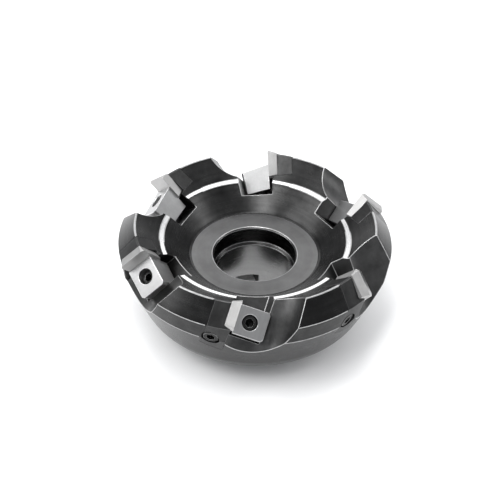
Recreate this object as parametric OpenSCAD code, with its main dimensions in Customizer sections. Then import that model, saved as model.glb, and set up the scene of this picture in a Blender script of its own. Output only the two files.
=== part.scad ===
// Face mill, 45 degree approach angle, six square inserts held by wedges.
// Origin: centre of the bore on the back face. +Z points to the cutting face,
// +X runs along the drive slots. Millimetres.

/* [Cutter] */
// Diameter over the insert tips
cutter_d = 125; // [120:1:140]
// Height from the back face to the insert tips
height = 63; // [60:1:66]
// Angle of the first insert tip from the drive slot
first_tip = -21.5; // [-30:0.5:-12]
// Axial rake of the insert seats
axial_rake = 15; // [10:1:18]
// Radial rake of the insert seats
radial_rake = -3; // [-5:1:0]

/* [Body] */
// Radius of the ridge that carries the inserts
ridge_r = 62.4; // [61.5:0.1:62.8]
// Height of the ridge above the back face
ridge_z = 60.8; // [60:0.1:61.4]
// Largest radius of the body
side_r = 71.2; // [70:0.1:72]
// Radius of the rim of the bowl
rim_r = 49.9; // [48:0.1:51]
// Height of the rim of the bowl
rim_z = 52.5; // [51:0.1:53]
// Radius of the flat floor of the bowl
floor_r = 33.8; // [32:0.1:35]
// Height of the floor of the bowl
floor_z = 41; // [40:0.5:43]
// Radius of the back face
back_r = 40; // [38:0.5:42]

/* [Arbor fit] */
// Bore diameter
bore_d = 40; // [38:0.1:40]
// Length of the ground bore above the back face
bore_len = 30; // [26:1:32]
// Diameter of the clearance above the ground bore
relief_d = 43; // [42:0.5:45]
// Width of the drive slots
slot_w = 16.4; // [14:0.1:18]
// Depth of the drive slots
slot_depth = 9; // [7:0.5:10]

/* [Insert] */
// Side of the square insert
insert_side = 15.875; // [15.6:0.005:15.9]
// Thickness of the insert
insert_t = 4.76; // [3.97:0.01:4.76]
// Clearance angle of the insert
clearance_angle = 20; // [15:1:20]
// Width of the wiper facet across each corner
wiper_w = 1.8; // [1:0.1:2]

/* [Wedge] */
// Length of the wedge along the cutting edge
wedge_len = 15; // [14:0.5:15.5]
// Width of the wedge at its top, away from the insert
wedge_w = 16.8; // [15:0.1:17]
// Depth of the wedge's top below the cutting edge
wedge_drop = 7.5; // [7:0.5:8]
// Taper of the wedge's front face
wedge_taper = 10; // [8:1:12]
// Slope of the wedge's top away from the insert
wedge_slope = 13; // [10:1:14]
// Diameter of the wedge screw
screw_d = 8; // [6:0.5:8]

/* [Locator] */
// Thickness of the locator behind the insert
locator_t = 8; // [7:0.5:8.5]
// Diameter of the locator screw
locator_screw_d = 5; // [4:0.5:5]

/* [Hidden] */
$fn = 96;

teeth = 6;
tip_r = cutter_d / 2;
pitch = 360 / teeth;
gap = 0.02;            // running gap between a seat and a loose piece
far = 80;              // reach of the blocks that cut half spaces

// Ring profile
ridge_land = 0.8;      // width of the ground land on the ridge
rim_land = [2.5, 0.5]; // ground land inside the rim, radial and axial
side_top_z = 50.5;      // the steep band on the side lies between these two
side_low = [69.8, 40.3];
waist = [58.2, 14.5];  // where the cone from the back face turns upwards
waist_round = 24;
back_edge = [2.5, 1.2]; // chamfer round the back face
floor_cove = 3;        // radius between the floor of the bowl and its wall
relief_edge = 0.8;     // chamfer at the mouth of the bore
relief_step = 1.5;     // cone between the ground bore and its clearance

// Chip gullet, a trough along the cutting edge in front of each insert
gullet_r = 20;
gullet_ahead = 11;
gullet_above = 4.8;    // height of its axis over the cutting edge, at the tip
gullet_tilt = 6.5;     // the trough deepens outwards

// Wedge slot and wedge
wedge_in = 1.5;        // set back of the wedge's inner side
wedge_foot = 21.5;     // depth of the wedge's foot at the insert
foot_slope = 8.5;
wedge_edge = 1.2;      // chamfer down the wedge's two front corners
slot_floor = 25;       // the slot is deeper than the wedge's foot
slot_wall = -2.2;      // its back wall stands under the insert
slot_reach = 17.4;     // its outer wall
slot_inner = -14;      // it runs out through the inside of the ridge
slot_top = 4;          // it starts this far above the insert's lower corner
tap_depth = 42;
screw_u = 9;           // screw axis, along and ahead of the cutting edge
screw_y = 7.2;
screw_top = 11.5;
screw_foot = 40;
screw_hex = 4;         // across flats of the socket
socket_depth = 5;

// Locator
locator_in = -3;       // inner end, outer end and floor of the block
locator_out = 27;
locator_floor = 14.5;
foot_u = 12;           // the foot beside the insert, which takes the screw
foot_v = 21;
ledge_u = 14;          // the ledge that the insert's lower flank rests on
ledge_front = -1.2;
head_d = 8.5;
head_t = 5;
head_sink = 1.2;       // the head lies this far under the surface
head_hole_d = 9.3;
head_play = 0.4;       // clearance of the hole for the shank
shank_len = 11;
shank_spare = 1.5;     // its threaded hole is deeper by this much
locator_hex = 4;
locator_screw_at = [22.6, 12.6];
locator_screw_tilt = 62;

// ---- frames ---------------------------------------------------------------

// Frame of tooth k: the origin is the tip, y points in the cutting direction
// square to the insert's face, and the insert stands on its corner.
module at_tooth(k) {
    rotate([0, 0, first_tip + pitch * (k - 1)])
        translate([tip_r, 0, height])
            rotate([-axial_rake, 0, radial_rake])
                children();
}

// Turns a seat frame so that x runs down along the outer cutting edge and
// -z runs down along the inner edge. Places below are given as [u, y, v].
module on_edges() {
    rotate([0, 45, 0]) children();
}

// Block between two corners given as [u, y, v]
module slab(low, high) {
    translate([low[0], low[1], -high[2]])
        cube([high[0] - low[0], high[1] - low[1], high[2] - low[2]]);
}

// ---- cutter body ----------------------------------------------------------

// Points of an arc of radius r that rounds the corner at b
function rounded(a, b, c, r, steps = 6) =
    let (
        p = (a - b) / norm(a - b),
        q = (c - b) / norm(c - b),
        half = acos(p * q) / 2,
        centre = b + (p + q) / norm(p + q) * r / sin(half),
        from = b + p * r / tan(half) - centre,
        to = b + q * r / tan(half) - centre
    )
    [for (i = [0 : steps])
        let (v = from + (to - from) * i / steps) centre + v * r / norm(v)];

// Outline of the ring, from the back face up the outside, over the ridge and
// down through the bowl and the bore
module ring_profile() {
    back = [back_r, back_edge[1]];
    wall_top = [rim_r - rim_land[0], rim_z - rim_land[1]];
    wall_foot = [floor_r, floor_z];
    bore_r = bore_d / 2;
    relief_r = relief_d / 2;
    polygon(concat(
        [[bore_r, 0], [back_r - back_edge[0], 0], back],
        rounded(back, waist, side_low, waist_round),
        [side_low, [side_r, side_top_z], [ridge_r + ridge_land / 2, ridge_z]],
        [[ridge_r - ridge_land / 2, ridge_z], [rim_r, rim_z], wall_top],
        rounded(wall_top, wall_foot, [relief_r, floor_z], floor_cove),
        [[relief_r + relief_edge, floor_z], [relief_r, floor_z - relief_edge]],
        [[relief_r, bore_len + relief_step], [bore_r, bore_len]]
    ));
}

module ring() {
    rotate_extrude($fn = 180) ring_profile();
}

module gullet() {
    intersection() {
        translate([0, gullet_ahead, gullet_above]) rotate([0, 90 + gullet_tilt, 0])
            cylinder(r = gullet_r, h = far, center = true);
        slab([-far / 2, ledge_front, -far], [far / 2, far, far]);
    }
}

// Everything above the insert's two seating faces
module seat_space(g) {
    lean = clearance_angle;
    side = insert_side + g;
    difference() {
        slab([-far / 4, -insert_t - g, -far / 4], [side, 1, side]);
        translate([side, 0, 0]) rotate([0, 0, -lean])
            translate([0, -far / 2, -far / 2]) cube(far);
        translate([0, 0, -side]) rotate([-lean, 0, 0])
            translate([-far / 2, -far / 2, -far]) cube(far);
    }
}

module wedge_slot() {
    difference() {
        slab([slot_inner, slot_wall, insert_side - slot_top],
             [slot_reach, far / 2, slot_floor]);
        wedge_front(gap);
    }
}

// Body stock in front of the wedge's tapered front face
module wedge_front(g) {
    translate([0, wedge_w + g, -wedge_drop]) rotate([-wedge_taper, 0, 0])
        translate([-far / 2, 0, -far]) cube([far, far, 2 * far]);
}

module wedge_screw_hole() {
    translate([screw_u, screw_y, -tap_depth]) cylinder(d = screw_d, h = tap_depth);
}

// Space for the locator: a block behind the insert and a ledge under it
module locator_block() {
    back = -insert_t - locator_t;
    slab([locator_in, back, -far / 4], [locator_out, -insert_t, locator_floor]);
    slab([foot_u, back, -far / 4], [locator_out, -insert_t, foot_v]);
    slab([ledge_u, back, -far / 4], [locator_out, ledge_front, foot_v]);
}

// Frame of the locator screw: z runs out of the body, square to its side,
// from the seat of the screw's head
module at_locator_screw() {
    translate([locator_screw_at[0], -insert_t - locator_t / 2, -locator_screw_at[1]])
        rotate([0, locator_screw_tilt, 0]) translate([0, 0, -head_sink - head_t]) children();
}

module locator_screw_hole() {
    at_locator_screw() {
        translate([0, 0, -shank_len - shank_spare])
            cylinder(d = locator_screw_d, h = shank_len + 2 * shank_spare);
        locator_head_hole();
    }
}

// The head's hole is wider than the locator, and nicks the body beside it
module locator_head_hole() {
    cylinder(d = head_hole_d, h = far / 2);
}

module drive_slot(side) {
    rotate([0, 0, side]) translate([0, -slot_w / 2, -1])
        cube([far, slot_w, slot_depth + 1]);
}

module cutter_body() {
    color([0.20, 0.20, 0.21]) difference() {
        ring();
        for (k = [1 : teeth]) at_tooth(k) on_edges() {
            gullet();
            seat_space(gap);
            wedge_slot();
            wedge_screw_hole();
            locator_block();
            locator_screw_hole();
        }
        for (side = [0, 180]) drive_slot(side);
    }
}

// ---- insert ---------------------------------------------------------------

module insert(k) {
    half = insert_side / 2;
    corner = half * sqrt(2) - wiper_w / 2;
    color([0.80, 0.80, 0.78]) at_tooth(k) on_edges()
        translate([half, -insert_t, -half]) difference() {
            translate([-half, 0, -half]) cube([insert_side, insert_t, insert_side]);
            for (a = [0 : 90 : 270]) rotate([0, a, 0]) {
                translate([half, insert_t, 0]) rotate([0, 0, -clearance_angle])
                    translate([0, -far / 2, -far / 2]) cube(far);
                rotate([0, 45, 0]) translate([corner, insert_t, 0])
                    rotate([0, 0, -clearance_angle])
                        translate([0, -far / 2, -far / 2]) cube(far);
            }
        }
}

// ---- wedge ----------------------------------------------------------------

// Chamfer down the front corner at the wedge's inner (0) or outer (1) end
module wedge_corner(end) {
    reach = wedge_edge / sqrt(2);
    translate([wedge_in + wedge_len * end, wedge_w, -wedge_drop])
        rotate([-wedge_taper, 0, 0]) rotate([0, 0, 45])
            cube([2 * reach, 2 * reach, far], center = true);
}

module wedge(k) {
    color([0.74, 0.74, 0.73]) at_tooth(k) on_edges() difference() {
        slab([wedge_in, gap, wedge_drop], [wedge_in + wedge_len, wedge_w, slot_floor]);
        wedge_front(0);
        for (end = [0, 1]) wedge_corner(end);
        // sloping top
        translate([-far / 2, 0, -wedge_drop]) rotate([-wedge_slope, 0, 0])
            cube([far, far, far]);
        // sloping foot
        translate([-far / 2, 0, -wedge_foot]) rotate([-foot_slope, 0, 0])
            translate([0, -far / 2, -far]) cube([far, far, far]);
        translate([screw_u, screw_y, -far / 2]) cylinder(d = screw_d, h = far);
    }
}

module wedge_screw(k) {
    color([0.16, 0.16, 0.17]) at_tooth(k) on_edges()
        translate([screw_u, screw_y, 0]) difference() {
            translate([0, 0, -screw_foot])
                cylinder(d = screw_d - 2 * gap, h = screw_foot - screw_top);
            translate([0, 0, -screw_top - socket_depth])
                cylinder(d = screw_hex / cos(30), h = socket_depth + 1, $fn = 6);
        }
}

// ---- locator --------------------------------------------------------------

module locator(k) {
    color([0.26, 0.26, 0.27]) difference() {
        intersection() {
            ring();
            at_tooth(k) on_edges() locator_block();
        }
        at_tooth(k) on_edges() {
            seat_space(gap);
            at_locator_screw() {
                translate([0, 0, -far / 2])
                    cylinder(d = locator_screw_d + head_play, h = far);
                locator_head_hole();
            }
        }
    }
}

module locator_screw(k) {
    color([0.14, 0.14, 0.15]) at_tooth(k) on_edges() at_locator_screw() difference() {
        union() {
            translate([0, 0, -shank_len]) cylinder(d = locator_screw_d, h = shank_len + 1);
            cylinder(d = head_d, h = head_t);
        }
        translate([0, 0, head_t / 2])
            cylinder(d = locator_hex / cos(30), h = head_t, $fn = 6);
    }
}

cutter_body();
insert(1);  // insert_1
insert(2);  // insert_2
insert(3);  // insert_3
insert(4);  // insert_4
insert(5);  // insert_5
insert(6);  // insert_6
wedge(1);  // wedge_1
wedge(2);  // wedge_2
wedge(3);  // wedge_3
wedge(4);  // wedge_4
wedge(5);  // wedge_5
wedge(6);  // wedge_6
wedge_screw(1);  // wedge_screw_1
wedge_screw(2);  // wedge_screw_2
wedge_screw(3);  // wedge_screw_3
wedge_screw(4);  // wedge_screw_4
wedge_screw(5);  // wedge_screw_5
wedge_screw(6);  // wedge_screw_6
locator(1);  // locator_1
locator(2);  // locator_2
locator(3);  // locator_3
locator(4);  // locator_4
locator(5);  // locator_5
locator(6);  // locator_6
locator_screw(1);  // locator_screw_1
locator_screw(2);  // locator_screw_2
locator_screw(3);  // locator_screw_3
locator_screw(4);  // locator_screw_4
locator_screw(5);  // locator_screw_5
locator_screw(6);  // locator_screw_6
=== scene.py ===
"""Face mill with six wedged inserts: the looks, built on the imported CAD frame.

Shapes are built in millimetres from the same dimensions as the CAD solids, with small edge rounds added,
and scaled to metres when a piece is finished. A tooth's own frame has x down along the outer cutting edge,
y in the cutting direction and -z down along the inner cutting edge.
"""

import math

import bmesh
import bpy
from mathutils import Matrix, Vector


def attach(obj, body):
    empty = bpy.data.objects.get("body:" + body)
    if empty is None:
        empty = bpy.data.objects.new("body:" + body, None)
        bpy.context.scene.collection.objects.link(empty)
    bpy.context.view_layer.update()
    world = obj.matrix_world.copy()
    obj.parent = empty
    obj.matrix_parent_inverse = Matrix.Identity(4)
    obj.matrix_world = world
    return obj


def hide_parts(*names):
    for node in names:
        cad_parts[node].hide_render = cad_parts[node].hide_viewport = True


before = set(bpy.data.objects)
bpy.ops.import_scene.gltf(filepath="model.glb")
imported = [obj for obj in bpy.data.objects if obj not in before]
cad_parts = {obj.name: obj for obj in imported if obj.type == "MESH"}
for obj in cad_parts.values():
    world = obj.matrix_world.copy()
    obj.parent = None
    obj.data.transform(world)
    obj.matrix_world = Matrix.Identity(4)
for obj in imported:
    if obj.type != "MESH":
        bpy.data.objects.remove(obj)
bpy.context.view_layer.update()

MM = 0.001
TEETH = 6
GAP = 0.02          # running gap of the loose pieces
FAR = 80            # reach of the cutting blocks

# cutter; all tips lie at TIP_R and HEIGHT, and tooth 1 at the angle FIRST_TIP
TIP_R, HEIGHT, FIRST_TIP, AXIAL_RAKE, RADIAL_RAKE = 62.5, 63, -21.5, 15, -3
# ring profile, as radius and height
BORE_FOOT, BACK_IN, BACK, WAIST = (20, 0), (37.5, 0), (40, 1.2), (58.2, 14.5)
SIDE_LOW, SIDE_TOP, RIDGE_OUT, RIDGE_IN = (69.8, 40.3), (71.2, 50.5), (62.8, 60.8), (62.0, 60.8)
RIM, WALL_TOP, WALL_FOOT, RELIEF = (49.9, 52.5), (47.4, 52.0), (33.8, 41), (21.5, 41)
RELIEF_MOUTH, RELIEF_TOP, RELIEF_FOOT, BORE = (22.3, 41), (21.5, 40.2), (21.5, 31.5), (20, 30)
WAIST_ROUND, FLOOR_COVE = 24, 3
DRIVE_SLOT_W, DRIVE_SLOT_H = 16.4, 9
GULLET_R, GULLET_AHEAD, GULLET_ABOVE, GULLET_TILT = 20, 11, 4.8, 6.5
# insert, wedge and the slot that holds them
SIDE, THICK, LEAN, WIPER = 15.875, 4.76, 20, 1.8
WEDGE_IN, WEDGE_LEN, WEDGE_W, WEDGE_TOP, WEDGE_FOOT = 1.5, 15, 16.8, 7.5, 21.5
TAPER, TOP_SLOPE, FOOT_SLOPE, WEDGE_CORNER = 10, 13, 8.5, 1.2
SLOT_FLOOR, SLOT_BACK, SLOT_OUT, SLOT_IN, SLOT_TOP = 25, -2.2, 17.4, -14, SIDE - 4
# wedge screw: a thread of each hand, with a plain neck between them
SCREW_AT, SCREW_R, SCREW_TOP, SCREW_FOOT, TAP_DEPTH = (9, 7.2), 4, 11.5, 40, 42
SCREW_NECK, SCREW_THREAD, SCREW_PITCH, SCREW_SOCKET = 24.9, 0.68, 1.25, (4, 5)
# locator and its screw
LOC_T, LEDGE_FRONT = 8, -1.2
LOC_BACK = -THICK - LOC_T
LOC_BLOCKS = [((-3, LOC_BACK, -20), (27, -THICK, 14.5)),
              ((12, LOC_BACK, -20), (27, -THICK, 21)),
              ((14, LOC_BACK, -20), (27, LEDGE_FRONT, 21))]
LOC_SCREW_AT, LOC_SCREW_TILT, HEAD_SINK = (22.6, 12.6), 62, 1.2
HEAD_R, HEAD_T, HEAD_HOLE_R, SHANK_R, SHANK_LEN, SHANK_SPARE = 4.25, 5, 4.65, 2.5, 11, 1.5
LOC_THREAD, LOC_PITCH, LOC_SOCKET = 0.45, 0.8, (4, 2.5)


# ---- mesh helpers --------------------------------------------------------------

def turn(axis, degrees):
    """Rotation about an axis through the origin."""
    return Matrix.Rotation(math.radians(degrees), 4, axis)


def move(x, y, z):
    return Matrix.Translation((x, y, z))


def tooth(k):
    """Frame of tooth k, counted from 0, in the cutter's frame."""
    return (turn("Z", FIRST_TIP + 360 / TEETH * k) @ move(TIP_R, 0, HEIGHT)
            @ turn("Z", RADIAL_RAKE) @ turn("X", -AXIAL_RAKE) @ turn("Y", 45))


# the locator screw's own frame: its head stands on the origin and z points out of the body
LOCATOR_SCREW = (move(LOC_SCREW_AT[0], -THICK - LOC_T / 2, -LOC_SCREW_AT[1])
                 @ turn("Y", LOC_SCREW_TILT) @ move(0, 0, -HEAD_SINK - HEAD_T))


def new_object(name, bm):
    mesh = bpy.data.meshes.new(name)
    bm.to_mesh(mesh)
    bm.free()
    obj = bpy.data.objects.new(name, mesh)
    bpy.context.scene.collection.objects.link(obj)
    return obj


def loft(rings, closed):
    """Mesh of a list of rings with the same number of points; closed joins the last ring to the first."""
    bm = bmesh.new()
    rows = [[bm.verts.new(p) for p in ring] for ring in rings]
    count = len(rows[0])
    pairs = list(zip(rows, rows[1:] + rows[:1])) if closed else list(zip(rows, rows[1:]))
    for a, b in pairs:
        for i in range(count):
            j = (i + 1) % count
            bm.faces.new((a[i], a[j], b[j], b[i]))
    if not closed:
        bm.faces.new(rows[0][::-1])
        bm.faces.new(rows[-1])
    bmesh.ops.recalc_face_normals(bm, faces=bm.faces)
    return bm


def rounded(a, b, c, r, steps=8):
    """Points of an arc of radius r that rounds the corner at b."""
    a, b, c = Vector(a), Vector(b), Vector(c)
    p, q = (a - b).normalized(), (c - b).normalized()
    half = math.acos(p.dot(q)) / 2
    centre = b + (p + q).normalized() * r / math.sin(half)
    start, end = b + p * r / math.tan(half) - centre, b + q * r / math.tan(half) - centre
    return [tuple(centre + start.lerp(end, i / steps).normalized() * r) for i in range(steps + 1)]


def stepped(points, step):
    """The closed outline with its long straight runs cut into steps."""
    out = []
    for a, b in zip(points, points[1:] + points[:1]):
        count = max(1, round((Vector(b) - Vector(a)).length / step))
        out += [tuple(Vector(a).lerp(Vector(b), i / count)) for i in range(count)]
    return out


PROFILE = ([BORE_FOOT, BACK_IN, BACK] + rounded(BACK, WAIST, SIDE_LOW, WAIST_ROUND)
           + [SIDE_LOW, SIDE_TOP, RIDGE_OUT, RIDGE_IN, RIM, WALL_TOP]
           + rounded(WALL_TOP, WALL_FOOT, RELIEF, FLOOR_COVE, 5)
           + [RELIEF_MOUTH, RELIEF_TOP, RELIEF_FOOT, BORE])


def around(count):
    """The angles of evenly spaced points round a circle."""
    return [2 * math.pi * i / count for i in range(count)]


def ring():
    """The body of the cutter before its teeth are cut: the profile turned round the axis."""
    outline = stepped(PROFILE, 2.4)
    return loft([[(r * math.cos(a), r * math.sin(a), z) for r, z in outline] for a in around(360)], True)


def block(low, high):
    """Box between two corners given as x, y, z."""
    (x0, y0, z0), (x1, y1, z1) = low, high
    return loft([[(x, y0, z0), (x, y1, z0), (x, y1, z1), (x, y0, z1)] for x in (x0, x1)], False)


def slab(low, high):
    """Box between two corners given as u, y, v in the tooth's frame."""
    return block((low[0], low[1], -high[2]), (high[0], high[1], -low[2]))


def shave(bm, point, normal):
    """Cuts away what lies beyond a plane."""
    everything = bm.verts[:] + bm.edges[:] + bm.faces[:]
    bmesh.ops.bisect_plane(bm, geom=everything, plane_co=point, plane_no=normal, clear_outer=True)
    bmesh.ops.holes_fill(bm, edges=[e for e in bm.edges if e.is_boundary], sides=0)
    bmesh.ops.recalc_face_normals(bm, faces=bm.faces)
    return bm


def rod(r, low, high, segments=64, where=Matrix.Identity(4)):
    """Cylinder along z between two heights."""
    circle = [(r * math.cos(a), r * math.sin(a)) for a in around(segments)]
    bm = loft([[(x, y, z) for x, y in circle] for z in (low, high)], False)
    bm.transform(where)
    return bm


def settle(obj):
    """Applies the object's modifiers to its mesh."""
    evaluated = obj.evaluated_get(bpy.context.evaluated_depsgraph_get())
    mesh = bpy.data.meshes.new_from_object(evaluated)
    obj.modifiers.clear()
    obj.data = mesh


def combine(obj, bm, operation="DIFFERENCE"):
    """Cuts a shape out of the object, or joins the two."""
    other = new_object("tool", bm)
    mod = obj.modifiers.new("combine", "BOOLEAN")
    mod.object, mod.operation, mod.solver = other, operation, "MANIFOLD"
    settle(obj)
    bpy.data.objects.remove(other)


# ---- shapes in the tooth's frame -------------------------------------------------

def gullet():
    """Round trough along the cutting edge, cut off flat at the front of the locator's ledge."""
    limit = math.acos((LEDGE_FRONT - GULLET_AHEAD) / GULLET_R)
    steps = 96
    section = [(GULLET_AHEAD + GULLET_R * math.cos(a), GULLET_R * math.sin(a))
               for a in (limit * (2 * i / steps - 1) for i in range(steps + 1))]
    bm = loft([[(x, y, z) for y, z in section] for x in range(-FAR // 2, FAR // 2 + 1, 4)], False)
    bm.transform(move(0, 0, GULLET_ABOVE) @ turn("Y", GULLET_TILT))
    return bm


# square to the wedge's front face, which leans back towards its foot
WEDGE_FRONT = Vector((0, math.cos(math.radians(TAPER)), -math.sin(math.radians(TAPER))))


def seat_space():
    """Everything above the insert's two seating faces, a gap larger than the insert."""
    lean = math.radians(LEAN)
    side = SIDE + GAP
    bm = slab((-20, -THICK - GAP, -20), (side, 1, side))
    shave(bm, (side, 0, 0), (math.cos(lean), -math.sin(lean), 0))
    return shave(bm, (0, 0, -side), (0, -math.sin(lean), -math.cos(lean)))


def wedge_slot():
    bm = slab((SLOT_IN, SLOT_BACK, SLOT_TOP), (SLOT_OUT, FAR / 2, SLOT_FLOOR))
    return shave(bm, (0, WEDGE_W + GAP, -WEDGE_TOP), WEDGE_FRONT)


def insert_shape():
    """Square plate with leaning flanks and a small wiper facet across each corner."""
    half = SIDE / 2
    lean = math.radians(LEAN)
    reach = half * math.sqrt(2) - WIPER / 2
    bm = block((-half, -THICK, -half), (half, 0, half))
    for i in range(8):
        a = math.radians(45 * i)
        out = Vector((math.cos(a), 0, math.sin(a)))
        normal = out * math.cos(lean) - Vector((0, math.sin(lean), 0))
        shave(bm, out * (half if i % 2 == 0 else reach), normal)
    bm.transform(move(half, 0, -half))
    return bm


def wedge_shape():
    bm = slab((WEDGE_IN, GAP, WEDGE_TOP), (WEDGE_IN + WEDGE_LEN, WEDGE_W, SLOT_FLOOR))
    shave(bm, (0, WEDGE_W, -WEDGE_TOP), WEDGE_FRONT)
    for x, side in ((WEDGE_IN, -1), (WEDGE_IN + WEDGE_LEN, 1)):
        out = (WEDGE_FRONT + Vector((side, 0, 0))).normalized()
        shave(bm, Vector((x, WEDGE_W, -WEDGE_TOP)) - out * WEDGE_CORNER / math.sqrt(2), out)
    a, b = math.radians(TOP_SLOPE), math.radians(FOOT_SLOPE)
    shave(bm, (0, 0, -WEDGE_TOP), (0, math.sin(a), math.cos(a)))
    return shave(bm, (0, 0, -WEDGE_FOOT), (0, -math.sin(b), -math.cos(b)))


def threaded(rows, socket, segments=56, where=Matrix.Identity(4)):
    """Screw from rows of (radius, height, thread depth, pitch), with a hex socket (width, depth)
    in its top. A negative pitch is a left-hand thread."""
    rings = []
    for r, z, depth, pitch in rows:
        points = []
        for i in range(segments):
            phase = (z / pitch - i / segments) % 1 if pitch else 0
            cut = depth * abs(2 * phase - 1)
            a = 2 * math.pi * i / segments
            points.append(((r - cut) * math.cos(a), (r - cut) * math.sin(a), z))
        rings.append(points)
    obj = new_object("screw", loft(rings, False))
    width, depth = socket
    top = rows[-1][1]
    hexagon = [(width / math.sqrt(3) * math.cos(a), width / math.sqrt(3) * math.sin(a))
               for a in around(6)]
    combine(obj, loft([[(x * s, y * s, z) for x, y in hexagon]
                       for s, z in ((0.15, top - depth - 1), (1, top - depth), (1, top + 1))], False))
    obj.data.transform(where)
    return obj


def thread_rows(r, low, high, depth, pitch, per_turn=8, fade=1.0):
    """Rows of a thread that fades out at both ends, over the length given."""
    count = round((high - low) / abs(pitch) * per_turn)
    rows = []
    for i in range(count + 1):
        z = low + (high - low) * i / count
        ramp = min(1, (z - low) / fade, (high - z) / fade)
        rows.append((r, z, depth * ramp, pitch))
    return rows


# ---- materials ---------------------------------------------------------------------

class Nodes:
    """A material's node tree, with short calls to add and link nodes."""

    def __init__(self, name):
        self.material = bpy.data.materials.new(name)
        self.material.use_nodes = True
        self.tree = self.material.node_tree
        self.shader = self.tree.nodes["Principled BSDF"]

    def add(self, kind, inputs=None, **settings):
        node = self.tree.nodes.new("ShaderNode" + kind)
        for key, value in settings.items():
            setattr(node, key, value)
        for key, value in (inputs or {}).items():
            self.feed(node.inputs[key], value)
        return node

    def feed(self, socket, value):
        if isinstance(value, bpy.types.NodeSocket):
            self.tree.links.new(value, socket)
        else:
            socket.default_value = value

    def math(self, operation, a, b=0.0):
        node = self.add("Math", operation=operation)
        self.feed(node.inputs[0], a)
        self.feed(node.inputs[1], b)
        return node.outputs[0]

    def noise(self, vector, scale, detail=4.0, rough=0.55):
        return self.add("TexNoise", {"Vector": vector, "Scale": scale, "Detail": detail,
                                     "Roughness": rough}).outputs["Fac"]

    def scaled(self, vector, x, y, z):
        return self.add("Mapping", {"Vector": vector, "Scale": (x, y, z)}).outputs[0]

    def ramp(self, value, stops):
        node = self.add("ValToRGB", {"Fac": value})
        cells = node.color_ramp.elements
        while len(cells) < len(stops):
            cells.new(0.5)
        for cell, (place, colour) in zip(cells, stops):
            cell.position = place
            cell.color = (*colour, 1) if len(colour) == 3 else colour
        return node.outputs["Color"]

    def spread(self, value, low, high):
        return self.add("MapRange", {"Value": value, "To Min": low, "To Max": high}).outputs[0]


def grey(value, warm=0.0):
    return (value * (1 + warm), value, value * (1 - warm))


def metal(name, dark, light, rough, lines="turned", line_size=0.35, line_height=0.004,
          metallic=1.0, blotch=9.0, anisotropic=0.0, warm=0.0):
    """Steel whose tone and gloss vary in soft blotches, with fine tool marks.
    dark and light are the tones and rough is the range of roughness. The marks are line_size wide and
    line_height deep, and the blotches are blotch across, in millimetres. lines is turned (round the
    axis), ground (along the tooth's x) or none."""
    n = Nodes(name)
    spot = n.add("TexCoord").outputs["Object"]
    if lines == "turned":
        split = n.add("SeparateXYZ", {"Vector": spot})
        r = n.math("SQRT", n.math("ADD", n.math("MULTIPLY", split.outputs[0], split.outputs[0]),
                                  n.math("MULTIPLY", split.outputs[1], split.outputs[1])))
        across = n.add("CombineXYZ", {"X": r, "Y": split.outputs[2]}).outputs[0]
        marks = n.noise(across, 1000 / line_size, 3.0, 0.7)
        broad = n.noise(across, 140 / line_size, 2.0)
    elif lines == "ground":
        local = n.add("Attribute", attribute_name="tooth_place").outputs["Vector"]
        across = n.scaled(local, 0.02, 1, 1)
        marks = n.noise(across, 1 / line_size, 3.0, 0.7)
        broad = n.noise(across, 0.18 / line_size, 2.0)
    else:
        marks = n.noise(spot, 1000 / line_size, 3.0, 0.6)
        broad = n.noise(spot, 120 / line_size, 2.0)
    clouds = n.noise(spot, 1000 / blotch, 5.0, 0.6)
    # clouds, broad bands and fine marks are weighed 55, 30 and 15 in a hundred
    mix = n.math("ADD", n.math("MULTIPLY", clouds, 0.55),
                 n.math("ADD", n.math("MULTIPLY", broad, 0.3), n.math("MULTIPLY", marks, 0.15)))
    tone = n.ramp(mix, [(0.30, grey(dark, warm)), (0.70, grey(light, warm))])
    n.feed(n.shader.inputs["Base Color"], tone)
    n.shader.inputs["Metallic"].default_value = metallic
    n.shader.inputs["Anisotropic"].default_value = anisotropic
    n.feed(n.shader.inputs["Roughness"], n.spread(n.math("MULTIPLY", n.math("ADD", clouds, marks), 0.5),
                                                  rough[0], rough[1]))
    if anisotropic:
        n.feed(n.shader.inputs["Tangent"], n.add("Tangent", direction_type="RADIAL", axis="Z").outputs[0])
    bump = n.add("Bump", {"Height": marks, "Strength": 0.35, "Distance": line_height * MM})
    n.feed(n.shader.inputs["Normal"], bump.outputs[0])
    return n.material


BODY = metal("black_oxide", 0.018, 0.056, (0.20, 0.33), anisotropic=0.45, line_height=0.006)
# ground steel of the rim land and the ridge; its light tone is partly a painted highlight
LAND_AND_PAINTED_HIGHLIGHT = metal("ground_land_painted_highlight", 0.70, 0.86, (0.22, 0.34), line_size=0.25, anisotropic=0.2)
FLOOR = metal("turned_floor", 0.12, 0.20, (0.30, 0.42), line_size=0.5, line_height=0.01, anisotropic=0.5)
# light tone on the body's rounded edges: oxide worn through, and a painted highlight along them
EDGE = metal("worn_edge_and_painted_highlight", 0.30, 0.55, (0.25, 0.40), lines="none", blotch=4)
SEAM = metal("seam_oxide", 0.03, 0.07, (0.35, 0.5), lines="none", blotch=3)
MILLED = metal("milled_oxide", 0.045, 0.11, (0.30, 0.42), lines="none", line_size=0.6, line_height=0.01)
BORE_STEEL = metal("ground_bore", 0.34, 0.46, (0.20, 0.32), line_size=0.3, anisotropic=0.3)
CARBIDE = metal("carbide", 0.32, 0.44, (0.30, 0.44), lines="ground", line_size=0.12, blotch=5,
                line_height=0.002, metallic=0.7, warm=0.01)
# lighter tone on the insert's rounded edges: honed carbide, and a painted highlight along them
CARBIDE_EDGE = metal("carbide_hone_painted_highlight", 0.42, 0.54, (0.24, 0.34), lines="ground", line_size=0.1, blotch=3)
WEDGE = metal("ground_wedge", 0.38, 0.50, (0.28, 0.42), lines="ground", line_size=0.22, blotch=7)
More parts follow.
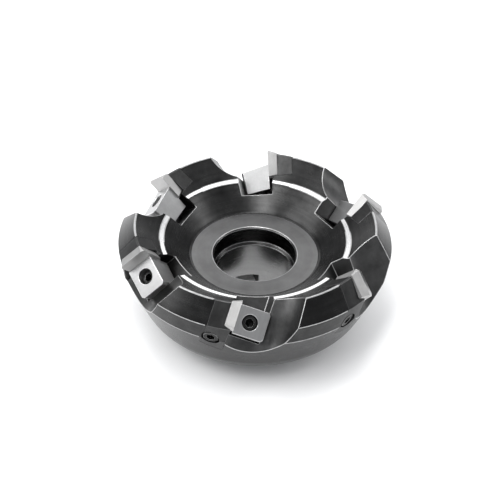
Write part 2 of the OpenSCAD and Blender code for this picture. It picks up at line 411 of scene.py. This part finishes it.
# lighter tone on the wedge's rounded edges, a painted highlight
WEDGE_EDGE_HIGHLIGHT = metal("wedge_edge", 0.62, 0.74, (0.24, 0.36), lines="ground", line_size=0.2)
LOCATOR = metal("locator_oxide", 0.028, 0.06, (0.30, 0.44), lines="ground", line_size=0.3, blotch=6)
# lighter tone on the locator's rounded edges, a painted highlight
LOCATOR_EDGE_HIGHLIGHT = metal("locator_edge_painted_highlight", 0.06, 0.14, (0.30, 0.44), lines="none", blotch=3)
SCREW = metal("screw_oxide", 0.02, 0.045, (0.34, 0.5), lines="none", line_size=0.4, blotch=3)
# lighter tone on the screws' rounded edges, a painted highlight
SCREW_EDGE_HIGHLIGHT = metal("screw_edge_painted_highlight", 0.12, 0.3, (0.3, 0.42), lines="none", blotch=2)
BODY_MATERIALS = [BODY, LAND_AND_PAINTED_HIGHLIGHT, FLOOR, EDGE, BORE_STEEL, MILLED, SEAM]


# ---- finishing a piece ---------------------------------------------------------------

def soften(obj, width, edge_slot=1, limit=12):
    """Rounds the edges sharper than the limit in degrees, and gives the rounds the material of a
    slot. Flat faces are joined up first, because short edges beside a sharp one would fold over."""
    bm = bmesh.new()
    bm.from_mesh(obj.data)
    bmesh.ops.dissolve_limit(bm, angle_limit=math.radians(0.15), verts=bm.verts, edges=bm.edges,
                             delimit={"MATERIAL"})
    bm.to_mesh(obj.data)
    bm.free()
    for poly in obj.data.polygons:
        poly.use_smooth = True
    mod = obj.modifiers.new("weld", "WELD")
    mod.merge_threshold = 0.05
    mod = obj.modifiers.new("edge", "BEVEL")
    mod.width, mod.segments = width, 2
    mod.limit_method, mod.angle_limit = "ANGLE", math.radians(limit)
    mod.use_clamp_overlap = False
    mod.loop_slide = False
    mod.miter_outer = "MITER_ARC"
    # the rounds take the slot's lighter material, which paints a highlight along the edges
    mod.material = edge_slot
    settle(obj)
    mod = obj.modifiers.new("normals", "WEIGHTED_NORMAL")
    mod.keep_sharp = True
    settle(obj)


def note_place(obj):
    """Keeps each point's place in the tooth's frame, for the grinding marks."""
    mesh = obj.data
    layer = mesh.attributes.new("tooth_place", "FLOAT_VECTOR", "POINT")
    for item, vertex in zip(layer.data, mesh.vertices):
        item.vector = vertex.co


def place(obj, name, node, body, slot, matrix):
    """Finishes a shape in millimetres as one piece, which stands for its CAD node and rides on its body."""
    obj.name = name
    obj.data.name = name
    obj.data.transform(Matrix.Scale(MM, 4) @ matrix)
    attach(obj, body)
    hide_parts(node)


def copies(obj, kind, slot, fixed=False):
    """Places a tooth's piece at all the teeth. A fixed one rides on the cutter, others on their own body."""
    note_place(obj)
    for k in range(TEETH):
        piece = bpy.data.objects.new(kind, obj.data.copy())
        bpy.context.scene.collection.objects.link(piece)
        node = f"{kind}_{k + 1}"
        place(piece, f"{node}_piece", node, "cutter" if fixed else node, slot, tooth(k))
    bpy.data.objects.remove(obj)


def dress(obj, *materials):
    """Gives the object these materials, in this order of slots."""
    obj.data.materials.clear()
    for material in materials:
        obj.data.materials.append(material)


# ---- cutter body ---------------------------------------------------------------------

# the runs of the profile that aren't black; the rim land and the ridge are ground steel whose light tone is
# partly a painted highlight
ZONES = [(FLOOR, RELIEF, WALL_FOOT), (LAND_AND_PAINTED_HIGHLIGHT, WALL_TOP, RIM), (LAND_AND_PAINTED_HIGHLIGHT, RIDGE_IN, RIDGE_OUT),
         (BORE_STEEL, BORE, BORE_FOOT), (BORE_STEEL, BORE_FOOT, BACK_IN)]


def distance_to(point, a, b):
    """Distance of a point from the line between two others."""
    p, a, b = Vector(point), Vector(a), Vector(b)
    t = max(0, min(1, (p - a).dot(b - a) / (b - a).length_squared))
    return (p - a.lerp(b, t)).length


def material_of(mesh, poly):
    """Which material a face of the body takes, from where it lies on the ring's profile."""
    spots = [(math.hypot(v.x, v.y), v.z) for v in (mesh.vertices[i].co for i in poly.vertices)]

    def lies_on(a, b):
        return all(distance_to(s, a, b) < 0.03 for s in spots)

    for material, a, b in ZONES:
        if lies_on(a, b):
            return material
    turned = any(lies_on(a, b) for a, b in zip(PROFILE, PROFILE[1:] + PROFILE[:1]))
    return BODY if turned else MILLED


def tooth_cutter():
    """All that is cut out of the body at one tooth, in the tooth's frame."""
    tool = new_object("cutter", gullet())
    combine(tool, seat_space(), "UNION")
    combine(tool, wedge_slot(), "UNION")
    combine(tool, rod(SCREW_R, -TAP_DEPTH, 0, where=move(*SCREW_AT, 0)), "UNION")
    for low, high in LOC_BLOCKS:
        combine(tool, slab(low, high), "UNION")
    combine(tool, rod(SHANK_R, -SHANK_LEN - SHANK_SPARE, SHANK_SPARE, 40, LOCATOR_SCREW), "UNION")
    combine(tool, rod(HEAD_HOLE_R, 0, FAR / 2, 64, LOCATOR_SCREW), "UNION")
    return tool


def dull_seams(mesh):
    """The edges of the locator pockets stay black; the others keep the light edge tone, worn steel with a
    painted highlight.
    """
    frames = [tooth(k).inverted() for k in range(TEETH)]
    for poly in mesh.polygons:
        if poly.material_index != BODY_MATERIALS.index(EDGE):
            continue
        spots = [f @ poly.center for f in frames]
        if any(LOC_BACK - 1 < p.y < -1 and -4 < p.x < 28 and -22 < p.z < 20 for p in spots):
            poly.material_index = BODY_MATERIALS.index(SEAM)


def cutter_body():
    body = new_object("body", ring())
    tool = tooth_cutter()
    for k in range(TEETH):
        bm = bmesh.new()
        bm.from_mesh(tool.data)
        bm.transform(tooth(k))
        combine(body, bm)
    bpy.data.objects.remove(tool)
    for side in (0, 180):
        bm = block((0, -DRIVE_SLOT_W / 2, -1), (FAR, DRIVE_SLOT_W / 2, DRIVE_SLOT_H))
        bm.transform(turn("Z", side))
        combine(body, bm)
    dress(body, *BODY_MATERIALS)
    for poly in body.data.polygons:
        poly.material_index = BODY_MATERIALS.index(material_of(body.data, poly))
    soften(body, 0.28, BODY_MATERIALS.index(EDGE))
    dull_seams(body.data)
    place(body, "cutter_ring", "cutter_body", "cutter", "body_steel", Matrix.Identity(4))


# ---- the pieces at each tooth ----------------------------------------------------------

def inserts():
    obj = new_object("insert", insert_shape())
    dress(obj, CARBIDE, CARBIDE_EDGE)
    soften(obj, 0.14)
    copies(obj, "insert", "carbide")


def wedges():
    obj = new_object("wedge", wedge_shape())
    combine(obj, rod(SCREW_R, -FAR, FAR, 72, move(*SCREW_AT, 0)))
    dress(obj, WEDGE, WEDGE_EDGE_HIGHLIGHT)
    soften(obj, 0.3)
    copies(obj, "wedge", "wedge_steel")


def wedge_screws():
    """Differential screws: right-hand below the neck, left-hand above it."""
    r, neck = SCREW_R - GAP, -SCREW_NECK
    rows = [(r - 0.8, -SCREW_FOOT, 0, 0), (r, -SCREW_FOOT + 0.8, 0, 0)]
    rows += thread_rows(r, -SCREW_FOOT + 0.9, neck - 1.1, SCREW_THREAD, SCREW_PITCH)
    rows += [(r - 0.75, neck - 0.7, 0, 0), (r - 0.75, neck + 0.7, 0, 0)]
    rows += thread_rows(r, neck + 1.1, -SCREW_TOP - 0.9, SCREW_THREAD, -SCREW_PITCH)
    rows += [(r, -SCREW_TOP - 0.7, 0, 0), (r - 0.7, -SCREW_TOP, 0, 0)]
    obj = threaded(rows, SCREW_SOCKET, where=move(*SCREW_AT, 0))
    dress(obj, SCREW, SCREW_EDGE_HIGHLIGHT)
    soften(obj, 0.12, limit=50)
    copies(obj, "wedge_screw", "screw_steel")


def locators():
    """The pocket's blocks, trimmed by the ring's surface and the insert's seat."""
    obj = new_object("locator", slab(*LOC_BLOCKS[0]))
    for low, high in LOC_BLOCKS[1:]:
        combine(obj, slab(low, high), "UNION")
    bm = ring()
    bm.transform(tooth(0).inverted())
    combine(obj, bm, "INTERSECT")
    combine(obj, seat_space())
    combine(obj, rod(SHANK_R + 0.2, -FAR / 2, FAR / 2, 48, LOCATOR_SCREW))
    combine(obj, rod(HEAD_HOLE_R, 0, FAR / 2, 64, LOCATOR_SCREW))
    dress(obj, LOCATOR, LOCATOR_EDGE_HIGHLIGHT)
    soften(obj, 0.22)
    copies(obj, "locator", "locator_steel", fixed=True)


def locator_screws():
    rows = [(SHANK_R - 0.5, -SHANK_LEN, 0, 0), (SHANK_R, -SHANK_LEN + 0.5, 0, 0)]
    rows += thread_rows(SHANK_R, -SHANK_LEN + 0.6, -1.5, LOC_THREAD, LOC_PITCH)
    rows += [(SHANK_R, -1.2, 0, 0), (SHANK_R, 0, 0, 0), (HEAD_R - 0.2, 0, 0, 0), (HEAD_R, 0.2, 0, 0),
             (HEAD_R, HEAD_T - 0.5, 0, 0), (HEAD_R - 0.5, HEAD_T, 0, 0)]
    obj = threaded(rows, LOC_SOCKET, where=LOCATOR_SCREW)
    dress(obj, SCREW, SCREW_EDGE_HIGHLIGHT)
    soften(obj, 0.1, limit=40)
    copies(obj, "locator_screw", "screw_steel", fixed=True)


cutter_body()
inserts()
wedges()
wedge_screws()
locators()
locator_screws()


# ---- floor, light and camera -------------------------------------------------------------

CAMERA_AZIMUTH, CAMERA_ELEVATION, CAMERA_ROLL = 163, 39.1, 1.8
CAMERA_DISTANCE = 0.780
AIM = Vector((0, 0, 0.0525))
GLOSSY_WORLD, EVEN_WORLD = 0.55, 0.95   # strength of the surroundings in reflections, and otherwise


def facing(azimuth, elevation, distance):
    """Matrix of a light or camera that looks at AIM from a place given in degrees and metres."""
    a, e = math.radians(azimuth), math.radians(elevation)
    away = Vector((math.cos(e) * math.cos(a), math.cos(e) * math.sin(a), math.sin(e)))
    return Matrix.Translation(AIM + away * distance) @ away.to_track_quat("Z", "Y").to_matrix().to_4x4()


def make_floor():
    bm = block((-3000, -3000, -40), (3000, 3000, -0.05))
    bm.transform(Matrix.Scale(MM, 4))
    floor = new_object("floor", bm)
    n = Nodes("floor_paper")
    fleck = n.noise(n.add("TexCoord").outputs["Object"], 40)
    n.feed(n.shader.inputs["Base Color"], n.ramp(fleck, [(0.3, grey(0.9)), (0.7, grey(0.93))]))
    n.shader.inputs["Roughness"].default_value = 0.9
    dress(floor, n.material)


def softbox(name, azimuth, elevation, distance, size, power):
    """Area light; its azimuth is measured from the camera's, to its left."""
    light = bpy.data.lights.new(name, "AREA")
    light.shape = "RECTANGLE"
    light.size, light.size_y = size
    light.energy = power
    obj = bpy.data.objects.new(name, light)
    bpy.context.scene.collection.objects.link(obj)
    obj.matrix_world = facing(CAMERA_AZIMUTH - azimuth, elevation, distance)


def make_world():
    """Even light all round, which the steel reflects more faintly than the floor is lit by it."""
    world = bpy.data.worlds.new("studio")
    bpy.context.scene.world = world
    world.use_nodes = True
    tree = world.node_tree
    background = tree.nodes["Background"]
    background.inputs["Color"].default_value = (0.80, 0.81, 0.83, 1)
    path = tree.nodes.new("ShaderNodeLightPath")
    strength = tree.nodes.new("ShaderNodeMapRange")
    strength.inputs["To Min"].default_value = EVEN_WORLD
    strength.inputs["To Max"].default_value = GLOSSY_WORLD
    tree.links.new(path.outputs["Is Glossy Ray"], strength.inputs["Value"])
    tree.links.new(strength.outputs["Result"], background.inputs["Strength"])


def make_camera():
    data = bpy.data.cameras.new("camera")
    data.sensor_width = 36
    data.lens = 108
    data.shift_x = -0.0106
    data.shift_y = -0.0276
    data.clip_start = 0.01
    cam = bpy.data.objects.new("camera", data)
    bpy.context.scene.collection.objects.link(cam)
    cam.matrix_world = facing(CAMERA_AZIMUTH, CAMERA_ELEVATION, CAMERA_DISTANCE) @ turn("Z", CAMERA_ROLL)
    bpy.context.scene.camera = cam


make_floor()
make_world()
softbox("strip", 20, 71, 0.9, (0.2, 0.8), 4.8)
softbox("left", 85, 38, 1.1, (0.8, 0.7), 6.5)
softbox("right", -100, 30, 1.1, (0.3, 0.8), 3)
softbox("back", 178, 24, 1.1, (1.4, 0.4), 3)
softbox("back_high", 178, 60, 1.1, (1.4, 0.25), 3)
make_camera()
bpy.context.scene.view_settings.view_transform = "Standard"
